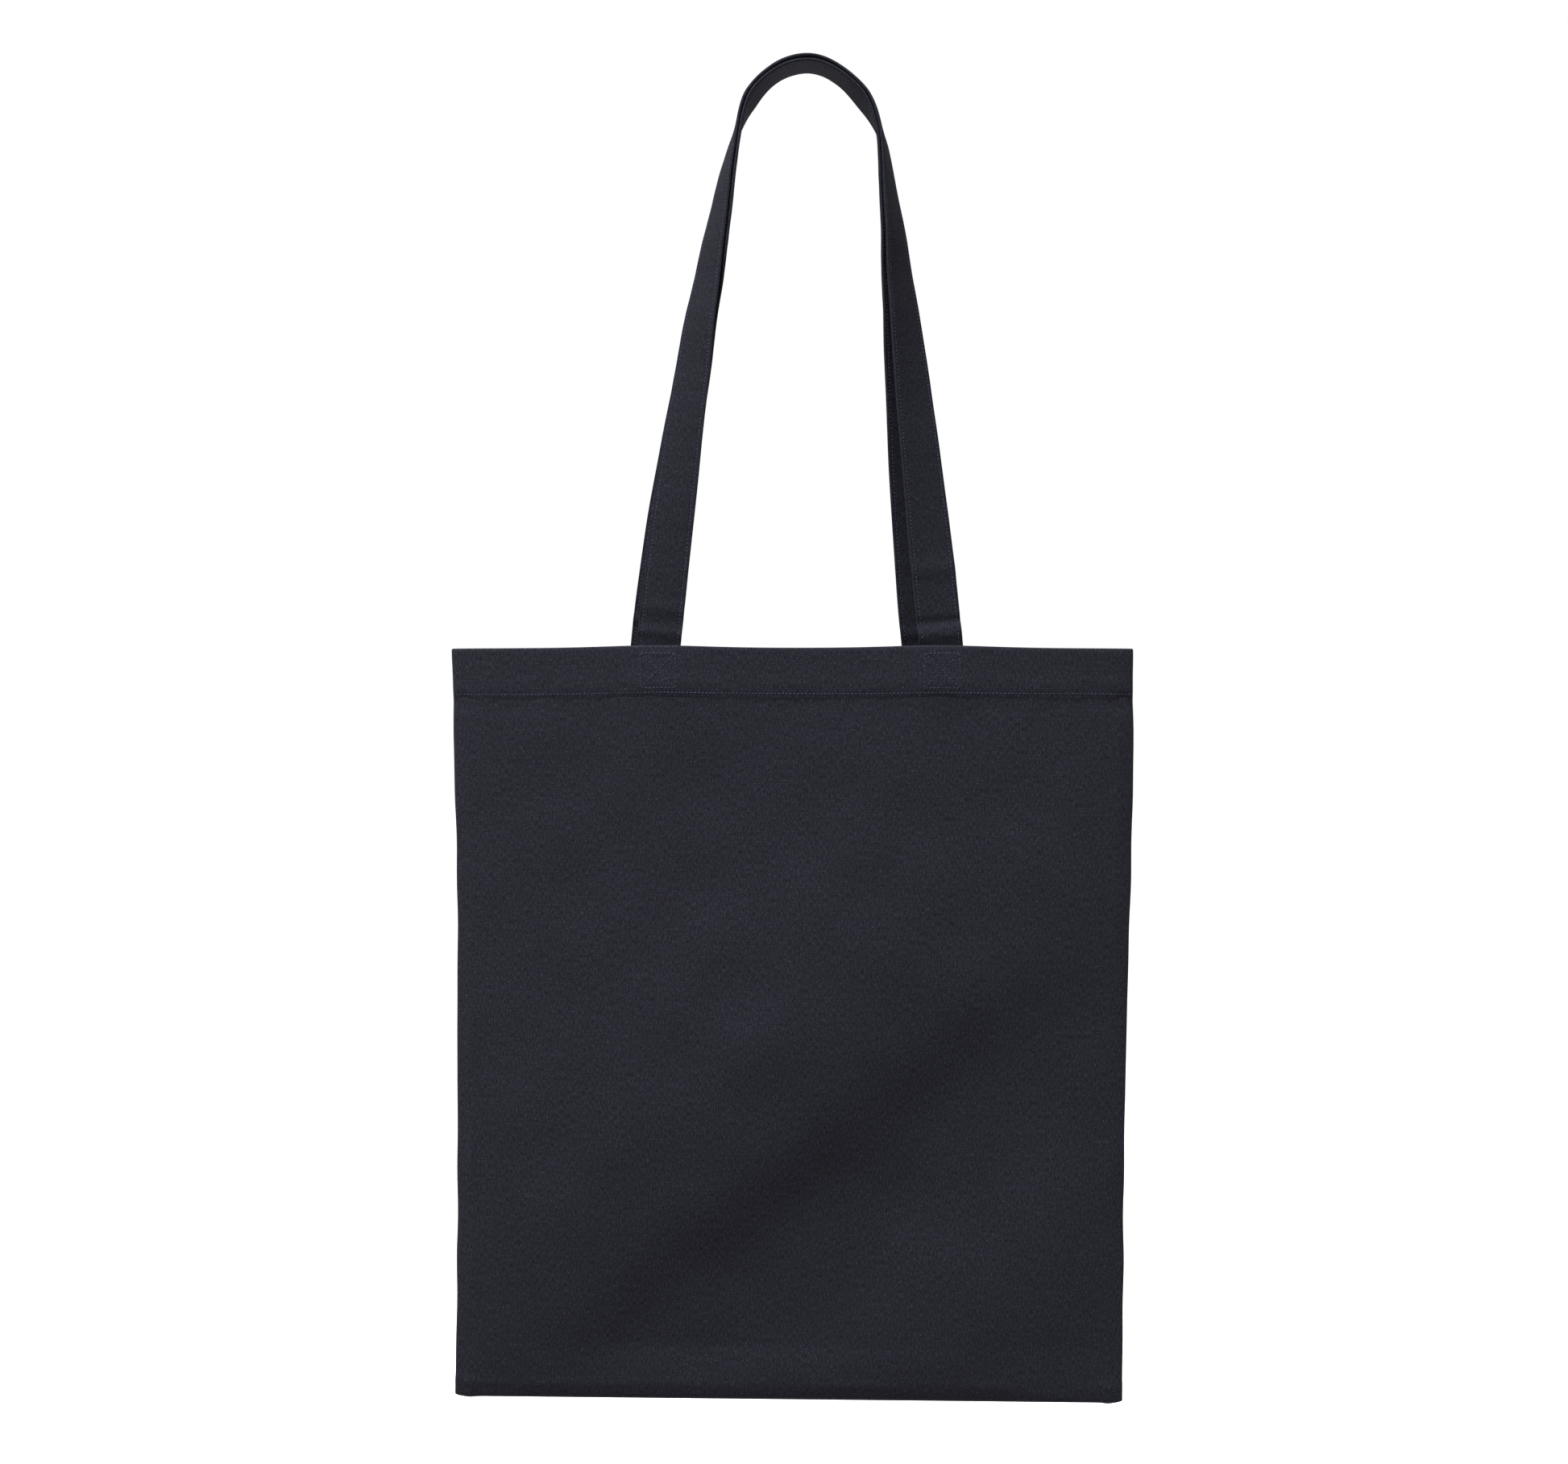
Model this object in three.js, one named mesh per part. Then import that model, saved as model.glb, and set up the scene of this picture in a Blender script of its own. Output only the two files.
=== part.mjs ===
// A canvas tote bag hanging by its two long handles from a hook.
// Millimetres, +Z up. The front of the bag faces -Y and +X is to its right.
// The origin is where the hook carries it: the underside of the inner handle, at its crown.
import * as THREE from 'three';

// ---------- driving dimensions ----------

// The bag, measured flat
const BAG_WIDTH = 380;
const BAG_HEIGHT = 420;
const SIDE_TAPER = 2; // how far each side has drawn in at the bottom
const CLOTH = 0.6; // one layer of canvas
const GAP = 0.3; // clearance between layers that are sewn together

// How the hanging bag fills out between its seams
const BELLY = 14; // half of the inside depth at the mouth
const ROUNDING = 6; // how late the fullness runs out towards the bottom seam

// The turned hem round the mouth
const HEM_DEPTH = 25;
const HEM_LAYERS = 2;

// The seams inside, pressed flat and overlocked along their raw edge
const SEAM_ALLOWANCE = 8;
const SEAM_INSET = 3; // from the fold of the seam to the near side of the strip
const SEAM_END_CLEARANCE = 4; // to the hem above, and to the next seam's strip
const OVERLOCK_WIDTH = 0.8;
const OVERLOCK_PROUD = 0.3; // the thread stands out on each side of the cloth

// The handles: self-fabric straps, four layers thick
const STRAP_WIDTH = 24.5;
const STRAP_THICKNESS = 1.8;
const STRAP_SPACING = 157; // between the two legs of one handle at the hem
const SEWN_LENGTH = 24; // of each strap end, inside the hem
const HANDLE_DROP = 327; // from the hem's top edge up to the hook
const ARCH_HALF_WIDTH = 43; // of the outer handle, where its arch begins
const ARCH_HEIGHT = 47;
const NEST_GAP = 1.9; // between the outer and the inner handle at the crown
const FOOT_LEAN = 0.1; // inward run per unit of rise, just above the hem
const ARCH_LEAN_LEFT = 0.2; // the same where the arch begins
const ARCH_LEAN_RIGHT = 0.12;
const TWIST_ONSET = 1.35; // above 1, a leg stays flat near the hem and turns later

// The hook takes the handles a little to the right of the bag's middle
const BAG_FROM_HOOK = -8.8;
const HANDLE_SHIFT = 3; // front handle right of the bag's middle, back handle left of it

// Sewing thread
const THREAD_WIDTH = 0.6;
const THREAD_HEIGHT = 0.4;
const STRAP_STITCH_INSET = 2; // from the strap's edge to its row of stitches
const BOX_WIDTH = 20; // the crossed square that holds each strap end
const BOX_HEIGHT = 19.5;
const BOX_BELOW_EDGE = 3.5;

// Fineness of the curved surfaces
const PANEL_COLUMNS = 21; // odd, so that a flat facet lies in the middle
const PANEL_ROWS = 12;
const LEG_STEPS = 20;
const ARCH_STEPS = 8; // of each half of the arch
const STRAP_LANES = 2; // across the strap

const FRONT = -1;
const BACK = 1;

// ---------- sizes that follow ----------

const mouthZ = -HANDLE_DROP;
const innerHeight = BAG_HEIGHT - CLOTH;
const hemThickness = HEM_LAYERS * CLOTH;
const seamThickness = 2 * CLOTH;
const strapInset = GAP + hemThickness + GAP; // from the panel's inside to the strap's outside
const threadLift = CLOTH + GAP;
const freeSeamEdge = SEAM_INSET + SEAM_ALLOWANCE;
const footClearance = GAP + (FOOT_LEAN * STRAP_WIDTH) / 2; // a leaning foot's lower corner clears the hem

// ---------- materials ----------

const canvas = (hex) => new THREE.MeshStandardMaterial({ color: hex, roughness: 0.95, metalness: 0 });
const thread = () => new THREE.MeshStandardMaterial({ color: 0x3a4058, roughness: 0.7, metalness: 0 });
const CANVAS_OUTSIDE = 0x2a2a32;
const CANVAS_INSIDE = 0x26262e;

// ---------- shaping ----------

const bag = new THREE.Group();

function addMesh(name, geometry, material) {
  const mesh = new THREE.Mesh(geometry, material);
  mesh.name = name;
  bag.add(mesh);
}

// Moves every vertex of a geometry to place(x, y, z). Where that mirrors the solid, its faces are
// turned round, so that they still point outwards.
function bend(geometry, place) {
  const solid = geometry.index ? geometry.toNonIndexed() : geometry.clone();
  const position = solid.getAttribute('position');
  const corner = new THREE.Vector3();
  const moved = [];
  for (let i = 0; i < position.count; i++) {
    corner.fromBufferAttribute(position, i);
    moved.push(place(corner.x, corner.y, corner.z));
  }
  let volume = 0;
  for (let i = 0; i < moved.length; i += 3) volume += moved[i].dot(corner.crossVectors(moved[i + 1], moved[i + 2]));
  for (let i = 0; i < moved.length; i += 3) {
    const [a, b, c] = volume < 0 ? [moved[i], moved[i + 2], moved[i + 1]] : moved.slice(i, i + 3);
    [a, b, c].forEach((p, k) => position.setXYZ(i + k, p.x, p.y, p.z));
  }
  solid.computeVertexNormals();
  return solid;
}

// A unit block whose corners run over 0..1 in each direction, before it is bent.
function unitBlock(across, along) {
  return new THREE.BoxGeometry(1, 1, 1, across, along, 1).translate(0.5, 0.5, 0.5);
}

// ---------- the bag's body ----------

// Half of the inside width, at a distance below the mouth.
function halfWidth(drop) {
  return BAG_WIDTH / 2 - CLOTH - (SIDE_TAPER * drop) / BAG_HEIGHT;
}

// A point of one side of the body. The cross-section is half an ellipse, which flattens out at the
// bottom seam; angle runs over it from -90 to 90 degrees, and offset is outwards from the inside face.
function bodyPoint(side, angle, drop, offset) {
  const share = drop / innerHeight;
  const fullness = Math.sqrt(Math.max(0, 1 - share ** ROUNDING));
  const narrowing = ((ROUNDING / 2) * share ** (ROUNDING - 1)) / innerHeight;
  const sine = Math.sin(angle);
  const cosine = Math.max(0, Math.cos(angle));
  const normal = new THREE.Vector3(
    (fullness ** 2 * sine) / halfWidth(drop),
    (side * fullness * cosine) / BELLY,
    -narrowing * cosine ** 2,
  );
  if (normal.length() < 1e-9) normal.set(Math.sign(sine), 0, -1);
  normal.normalize();
  return new THREE.Vector3(
    BAG_FROM_HOOK + halfWidth(drop) * sine,
    side * (BELLY * fullness * cosine + GAP / 2),
    mouthZ - drop,
  ).addScaledVector(normal, offset);
}

const columnAngle = (column) => Math.PI * (column / PANEL_COLUMNS - 0.5);

// The same, for a point given by its distance right of the bag's middle.
function bodyPointAt(side, x, drop, offset) {
  return bodyPoint(side, Math.asin(x / halfWidth(drop)), drop, offset);
}

function addPanel(name, side) {
  const rowDrop = (v) => innerHeight * (1 - (1 - v) ** 2);
  const place = (u, v, w) => bodyPoint(side, columnAngle(u * PANEL_COLUMNS), rowDrop(v), w * CLOTH);
  const block = unitBlock(PANEL_COLUMNS, PANEL_ROWS);
  addMesh(name, bend(block, place), canvas(CANVAS_OUTSIDE));
}

// A strip round one side of the mouth, from one column short of each side seam.
function mouthStrip(side, topDrop, height, inside, outside) {
  const columns = PANEL_COLUMNS - 2;
  const place = (u, v, w) =>
    bodyPoint(side, columnAngle(1 + u * columns), topDrop + v * height, THREE.MathUtils.lerp(inside, outside, w));
  return bend(unitBlock(columns, 1), place);
}

function addHem(sideName, side) {
  const turning = mouthStrip(side, 0, HEM_DEPTH + 2 * CLOTH, -GAP - hemThickness, -GAP);
  addMesh(`${sideName}_hem_turning`, turning, canvas(CANVAS_INSIDE));
  const stitching = mouthStrip(side, HEM_DEPTH, THREAD_WIDTH, threadLift, threadLift + THREAD_HEIGHT);
  addMesh(`${sideName}_hem_stitching`, stitching, thread());
}

// A strip of both panels' edges inside a side seam, and the overlock thread along its raw edge.
function addSideSeam(name, sign) {
  const top = HEM_DEPTH + 2 * CLOTH + SEAM_END_CLEARANCE;
  const bottom = innerHeight - freeSeamEdge - OVERLOCK_WIDTH - SEAM_END_CLEARANCE;
  const strip = (near, far, thickness) => {
    const place = (u, v, w) => {
      const drop = THREE.MathUtils.lerp(top, bottom, v);
      const fromEdge = THREE.MathUtils.lerp(near, far, u);
      const x = BAG_FROM_HOOK + sign * (halfWidth(drop) - fromEdge);
      return new THREE.Vector3(x, (w - 0.5) * thickness, mouthZ - drop);
    };
    return bend(unitBlock(1, 1), place);
  };
  addMesh(`${name}_seam_allowance`, strip(SEAM_INSET, freeSeamEdge, seamThickness), canvas(CANVAS_INSIDE));
  const edge = freeSeamEdge + GAP;
  const overlock = strip(edge, edge + OVERLOCK_WIDTH, seamThickness + 2 * OVERLOCK_PROUD);
  addMesh(`${name}_seam_overlock`, overlock, thread());
}

function addBottomSeam() {
  const length = 2 * (halfWidth(innerHeight) - freeSeamEdge - OVERLOCK_WIDTH - SEAM_END_CLEARANCE);
  const strip = (near, height, thickness) =>
    new THREE.BoxGeometry(length, thickness, height).translate(
      BAG_FROM_HOOK,
      0,
      mouthZ - innerHeight + near + height / 2,
    );
  addMesh('bottom_seam_allowance', strip(SEAM_INSET, SEAM_ALLOWANCE, seamThickness), canvas(CANVAS_INSIDE));
  const overlock = strip(freeSeamEdge + GAP, OVERLOCK_WIDTH, seamThickness + 2 * OVERLOCK_PROUD);
  addMesh('bottom_seam_overlock', overlock, thread());
}

// ---------- the handles ----------

// How far right of the bag's middle a handle's leg is sewn on: sign is -1 for the left leg.
const footOffset = (side, sign) => (sign * STRAP_SPACING) / 2 - side * HANDLE_SHIFT;

// The middle line of a handle, from its left foot over the hook to its right foot.
// The back handle lies inside the front one, so its arch is smaller by a strap and the gap.
function handlePath(side) {
  const inward = side === BACK ? STRAP_THICKNESS + NEST_GAP : 0;
  const crown = new THREE.Vector3(0, 0, STRAP_THICKNESS * 1.5 + NEST_GAP - inward);
  const springZ = STRAP_THICKNESS * 1.5 + NEST_GAP - ARCH_HEIGHT;
  const quarter = 0.55; // a Bezier handle of this share of the radius makes a quarter ellipse
  const leg = (sign, lean) => {
    const foot = bodyPointAt(side, footOffset(side, sign), 0, -strapInset - STRAP_THICKNESS / 2);
    foot.z = mouthZ + footClearance;
    const spring = new THREE.Vector3(sign * (ARCH_HALF_WIDTH - inward), 0, springZ);
    const third = (spring.z - foot.z) / 3;
    const aboveFoot = new THREE.Vector3(foot.x - sign * FOOT_LEAN * third, foot.y * 0.7, foot.z + third);
    const belowSpring = new THREE.Vector3(spring.x + sign * lean * third, 0, spring.z - third);
    const rise = quarter * (crown.z - spring.z);
    const aboveSpring = new THREE.Vector3(spring.x - sign * lean * rise, 0, spring.z + rise);
    const besideCrown = new THREE.Vector3(sign * quarter * Math.abs(spring.x), 0, crown.z);
    return { foot, aboveFoot, belowSpring, spring, aboveSpring, besideCrown };
  };
  const left = leg(-1, ARCH_LEAN_LEFT);
  const right = leg(1, ARCH_LEAN_RIGHT);
  return [
    new THREE.CubicBezierCurve3(left.foot, left.aboveFoot, left.belowSpring, left.spring),
    new THREE.CubicBezierCurve3(left.spring, left.aboveSpring, left.besideCrown, crown),
    new THREE.CubicBezierCurve3(crown, right.besideCrown, right.aboveSpring, right.spring),
    new THREE.CubicBezierCurve3(right.spring, right.belowSpring, right.aboveFoot, right.foot),
  ];
}

// The strap's stations: its middle point, the direction across it and the direction out of its
// outer face. A leg is flat to the front at the hem and has turned edge-on where the arch begins.
function handleStations(side) {
  const [leftLeg, leftArch, rightArch, rightLeg] = handlePath(side);
  const stations = [];
  const add = (curve, share, turn) => {
    const point = curve.getPointAt(share);
    const tangent = curve.getTangentAt(share);
    const inward = new THREE.Vector3(tangent.z, 0, -tangent.x).normalize();
    const forward = new THREE.Vector3().crossVectors(inward, tangent);
    const angle = (Math.PI / 2) * turn;
    const across = inward.clone().multiplyScalar(Math.cos(angle)).addScaledVector(forward, Math.sin(angle));
    const outward = forward.clone().multiplyScalar(Math.cos(angle)).addScaledVector(inward, -Math.sin(angle));
    stations.push({ point, across, outward });
  };
  for (let i = 0; i < LEG_STEPS; i++) add(leftLeg, i / LEG_STEPS, (i / LEG_STEPS) ** TWIST_ONSET);
  for (let i = 0; i < ARCH_STEPS; i++) add(leftArch, i / ARCH_STEPS, 1);
  for (let i = 0; i < ARCH_STEPS; i++) add(rightArch, i / ARCH_STEPS, 1);
  for (let i = 0; i <= LEG_STEPS; i++) add(rightLeg, i / LEG_STEPS, (1 - i / LEG_STEPS) ** TWIST_ONSET);
  return stations;
}

// A band along the handle: from and to are distances across it, low and high are heights above
// its middle layer.
function handleBand(stations, lanes, from, to, low, high) {
  const steps = stations.length - 1;
  const place = (u, v, w) => {
    const { point, across, outward } = stations[Math.round(u * steps)];
    return point
      .clone()
      .addScaledVector(across, THREE.MathUtils.lerp(from, to, v))
      .addScaledVector(outward, THREE.MathUtils.lerp(low, high, w));
  };
  return bend(unitBlock(steps, lanes), place);
}

function addHandle(sideName, side) {
  const stations = handleStations(side);
  const half = STRAP_WIDTH / 2;
  const face = STRAP_THICKNESS / 2;
  const strap = handleBand(stations, STRAP_LANES, -half, half, -face, face);
  addMesh(`${sideName}_strap`, strap, canvas(CANVAS_OUTSIDE));
  const row = half - STRAP_STITCH_INSET;
  for (const [edge, middle] of [['outer', -row], ['inner', row]]) {
    const low = face + GAP;
    const stitching = handleBand(
      stations, 1, middle - THREAD_WIDTH / 2, middle + THREAD_WIDTH / 2, low, low + THREAD_HEIGHT,
    );
    addMesh(`${sideName}_strap_${edge}_stitching`, stitching, thread());
  }
}

// The end of a strap, inside the hem.
function addStrapEnd(name, side, sign) {
  const x = footOffset(side, sign);
  const place = (u, v, w) =>
    bodyPointAt(side, x + (u - 0.5) * STRAP_WIDTH, v * SEWN_LENGTH, -strapInset - (1 - w) * STRAP_THICKNESS);
  addMesh(`${name}_strap_end`, bend(unitBlock(STRAP_LANES, 1), place), canvas(CANVAS_INSIDE));
}

// The square of stitching with a cross in it, on the outside of the hem.
function addBoxStitching(name, side, sign) {
  const x = footOffset(side, sign);
  const [right, top] = [BOX_WIDTH / 2, BOX_HEIGHT / 2];
  const half = THREAD_WIDTH / Math.SQRT2; // half of a diagonal thread, measured along X or Z
  const square = new THREE.Shape([[-right, -top], [right, -top], [right, top], [-right, top]]
    .map(([px, py]) => new THREE.Vector2(px, py)));
  const reach = (size, other) => size - ((THREAD_WIDTH + half) * size) / other;
  for (const sense of [-1, 1]) {
    square.holes.push(new THREE.Path([
      new THREE.Vector2(0, sense * half),
      new THREE.Vector2(-sense * reach(right, top), sense * (top - THREAD_WIDTH)),
      new THREE.Vector2(sense * reach(right, top), sense * (top - THREAD_WIDTH)),
    ]));
    square.holes.push(new THREE.Path([
      new THREE.Vector2(sense * half, 0),
      new THREE.Vector2(sense * (right - THREAD_WIDTH), sense * reach(top, right)),
      new THREE.Vector2(sense * (right - THREAD_WIDTH), -sense * reach(top, right)),
    ]));
  }
  const flat = new THREE.ExtrudeGeometry(square, { depth: THREAD_HEIGHT, bevelEnabled: false });
  const middle = BOX_BELOW_EDGE + top;
  const place = (px, py, depth) => bodyPointAt(side, x + px, middle - py, threadLift + depth);
  addMesh(`${name}_box_stitching`, bend(flat, place), thread());
}

// ---------- assembly ----------

for (const [sideName, side] of [['front', FRONT], ['back', BACK]]) {
  addPanel(`${sideName}_panel`, side);
  addHem(sideName, side);
  addHandle(sideName, side);
  for (const [legName, sign] of [['left', -1], ['right', 1]]) {
    addStrapEnd(`${sideName}_${legName}`, side, sign);
    addBoxStitching(`${sideName}_${legName}`, side, sign);
  }
}
addSideSeam('left', -1);
addSideSeam('right', 1);
addBottomSeam();

export default bag;
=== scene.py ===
"""Looks of a hanging canvas tote bag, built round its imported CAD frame."""

import math

import bpy
import numpy as np
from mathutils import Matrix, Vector


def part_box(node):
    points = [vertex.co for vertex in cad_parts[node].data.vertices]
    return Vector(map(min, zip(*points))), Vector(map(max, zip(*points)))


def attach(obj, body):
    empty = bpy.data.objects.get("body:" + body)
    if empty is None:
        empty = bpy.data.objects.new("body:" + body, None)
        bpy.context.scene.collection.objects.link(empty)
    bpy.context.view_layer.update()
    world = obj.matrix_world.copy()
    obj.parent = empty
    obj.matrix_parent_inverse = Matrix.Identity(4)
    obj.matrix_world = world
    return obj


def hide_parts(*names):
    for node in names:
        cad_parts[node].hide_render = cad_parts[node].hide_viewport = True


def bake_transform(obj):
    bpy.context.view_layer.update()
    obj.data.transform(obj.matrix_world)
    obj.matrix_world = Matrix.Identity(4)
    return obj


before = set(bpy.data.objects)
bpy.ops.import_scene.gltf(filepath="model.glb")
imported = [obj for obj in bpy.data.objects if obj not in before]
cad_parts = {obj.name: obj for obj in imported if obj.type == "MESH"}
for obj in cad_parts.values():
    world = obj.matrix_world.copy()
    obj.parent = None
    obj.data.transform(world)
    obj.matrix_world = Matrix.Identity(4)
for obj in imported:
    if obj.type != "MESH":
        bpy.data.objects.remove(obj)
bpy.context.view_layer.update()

bl_info = {
    "name": "Canvas Tote Bag",
    "version": (1, 0, 0),
    "blender": (4, 5, 0),
    "location": "View3D > Sidebar > Tote",
    "description": "Makes the cloth, straps, stitches and studio of a hanging canvas tote bag",
    "category": "Object",
}

MM = 0.001
FRONT, BACK = -1, 1
SIDES = (("front", FRONT), ("back", BACK))
LEGS = (("left", -1), ("right", 1))

# ---------- where the frame puts things ----------

PANEL_LOW, PANEL_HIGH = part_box("front_panel")
MIDDLE_X = (PANEL_LOW.x + PANEL_HIGH.x) / 2
MOUTH_Z = PANEL_HIGH.z
BAG_HEIGHT = PANEL_HIGH.z - PANEL_LOW.z
TOP_HALF_WIDTH = (PANEL_HIGH.x - PANEL_LOW.x) / 2
BAG_DEPTH = PANEL_HIGH.y - PANEL_LOW.y
CROWN_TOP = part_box("front_strap")[1].z


def node_middle(node):
    """The middle of a CAD node's box."""
    low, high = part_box(node)
    return (low + high) / 2


def linear(hex_colour):
    """An sRGB hex colour as linear red, green and blue."""
    values = [int(hex_colour[i : i + 2], 16) / 255 for i in (1, 3, 5)]
    return tuple(v / 12.92 if v <= 0.04045 else ((v + 0.055) / 1.055) ** 2.4 for v in values)


# ---------- sizes and colours a user would change ----------


def a_length(name, description, default):
    return bpy.props.FloatProperty(name=name, description=description, default=default, unit="LENGTH")


def a_colour(name, description, hex_colour):
    return bpy.props.FloatVectorProperty(
        name=name, description=description, subtype="COLOR", default=linear(hex_colour))


class ToteSizes(bpy.types.PropertyGroup):
    """Sizes of the cloth, the straps and the stitches."""

    cloth: a_length("Canvas", "Thickness of one layer", 0.6 * MM)
    taper: a_length("Taper", "How far each side draws in at the bottom", 2 * MM)
    hem_depth: a_length("Hem", "Depth of the turned hem", 25 * MM)
    strap_width: a_length("Strap width", "Width of a handle", 24.5 * MM)
    strap_thickness: a_length("Strap thickness", "Four layers of canvas", 1.8 * MM)
    stitch: a_length("Stitch", "Length from one stitch to the next", 2.1 * MM)
    thread: a_length("Thread", "Thickness of the sewing thread", 0.5 * MM)
    fold: a_length("Fold", "Depth of the soft fold across the front", 9.5 * MM)


class ToteColours(bpy.types.PropertyGroup):
    """Colours of the cloth, the thread and the floor."""

    canvas: a_colour("Canvas", "Dyed cotton", "#1a1a22")
    faded: a_colour("Faded canvas", "Cotton where folds have rubbed", "#3c3d48")
    thread: a_colour("Thread", "Sewing thread", "#23283a")
    floor: a_colour("Floor", "Studio floor", "#f4f4f2")


def sizes():
    return bpy.context.scene.tote_sizes


def colours():
    return bpy.context.scene.tote_colours


# ---------- the cloth's shape ----------

ROUNDING = 6  # how late the fullness runs out towards the bottom seam
LAYER_GAP = 0.3 * MM
# The soft diagonal valley over the lower front: its lower left and upper right ends, across and up from
# the hook, how wide its near slope is, and where and how widely the cloth rises again beyond it
FOLD_START = (-0.144, -0.725)
FOLD_END = (0.144, -0.509)
FOLD_WIDTH = 26 * MM
FOLD_FAR_SIDE = 95 * MM
FOLD_FAR_WIDTH = 38 * MM
# The lower right corner of the front hangs back: how far past the valley, how widely, and how much
CORNER_START = 160 * MM
CORNER_WIDTH = 30 * MM
CORNER_SHARE = 0.9
BACK_SHARE = -0.3  # the back answers the fold faintly, the other way
FOOT_SWELL = 1.3 * MM  # the cloth stands out a little under each sewn strap end
# How far each side draws in besides its taper, by share of the way down
LEFT_SIDE = ((0, -0.5 * MM), (0.12, 0), (0.3, 1.8 * MM), (0.85, 0.9 * MM), (1, -1 * MM))
RIGHT_SIDE = (
    (0, 0), (0.07, -1.6 * MM), (0.3, -0.3 * MM), (0.5, 2 * MM), (0.7, 3.2 * MM), (1, 3.4 * MM))
HEM_TURN = 26.2 * MM  # how far the turned layer reaches down inside


def ripples(x, z, wavelength, seed, count=9):
    """A smooth random field over the cloth, about -1 to 1, with folds of about one wavelength."""
    random = np.random.default_rng(seed)
    total = 0
    for _ in range(count):
        heading = random.uniform(0, math.pi)
        length = wavelength * random.uniform(0.7, 1.6)
        phase = random.uniform(0, 2 * math.pi)
        along = x * math.cos(heading) + z * math.sin(heading)
        total = total + np.sin(2 * math.pi * along / length + phase)
    return total / math.sqrt(count)


def bump_at(value, centre, width):
    """A rounded bump of height 1."""
    return np.exp(-(((value - centre) / width) ** 2))


def step_at(value, centre, width):
    """A soft step from 0 to 1."""
    return 0.5 + 0.5 * np.tanh((value - centre) / width)


def unit(vectors):
    """Vectors scaled to a length of one."""
    return vectors / np.linalg.norm(vectors, axis=-1, keepdims=True)


def run_of(line):
    """The distance run along a line at each of its points."""
    return np.concatenate([[0], np.cumsum(np.linalg.norm(np.diff(line, axis=0), axis=1))])


def sample(at, run, line):
    """Points of a line at given distances along its run."""
    return np.stack([np.interp(at, run, line[:, k]) for k in range(3)], axis=1)


def half_width(drop):
    """Half of the bag's inside width, at a distance below the mouth."""
    return TOP_HALF_WIDTH - sizes().cloth - sizes().taper * drop / BAG_HEIGHT


def fold_height(side, x, drop):
    """How far the hanging cloth swells or sinks, outwards from the smooth body."""
    z = MOUTH_Z - drop
    start_x, start_z = FOLD_START
    end_x, end_z = FOLD_END
    length = math.hypot(end_x - start_x, end_z - start_z)
    way_x, way_z = (end_x - start_x) / length, (end_z - start_z) / length
    along = ((x - start_x) * way_x + (z - start_z) * way_z) / length
    across = (x - start_x) * way_z - (z - start_z) * way_x
    fade = np.clip(along * 4 + 0.6, 0, 1) * np.clip((1.2 - along) * 3, 0, 1)
    # A low crest lies above the valley, then the valley itself, then the corner beyond it.
    valley = 0.12 * bump_at(across, -75 * MM, 60 * MM)
    valley -= step_at(across, 0, FOLD_WIDTH) * step_at(-across, -FOLD_FAR_SIDE, FOLD_FAR_WIDTH)
    valley -= CORNER_SHARE * step_at(across, CORNER_START, CORNER_WIDTH)
    # The hem and the bottom seam hold the cloth, so folds only form between them.
    share = np.clip(drop / BAG_HEIGHT, 0, 1)
    free = np.clip(share * 5, 0, 1) * np.clip((1 - share) * 14, 0, 1)
    height = (BACK_SHARE if side == BACK else 1) * sizes().fold * valley * fade * free
    # Handling leaves broad and fine dents everywhere.
    height += 1.1 * MM * free * ripples(x, 0.6 * z, 0.16, 11 + side)
    height += 0.35 * MM * free * ripples(1.4 * x, z, 0.055, 23 + side)
    below = np.clip(drop / 0.02, 0, 1) * np.exp(-drop / 0.09)
    for foot in feet(side):
        height += FOOT_SWELL * below * bump_at(x, foot, 22 * MM)
    return height


def foot_node(side, leg):
    """The CAD node of one sewn strap end."""
    return f"{'front' if side == FRONT else 'back'}_{'left' if leg < 0 else 'right'}_strap_end"


def feet(side):
    """Where the two sewn strap ends of one side lie across the bag."""
    return [node_middle(foot_node(side, leg)).x for _, leg in LEGS]


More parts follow.
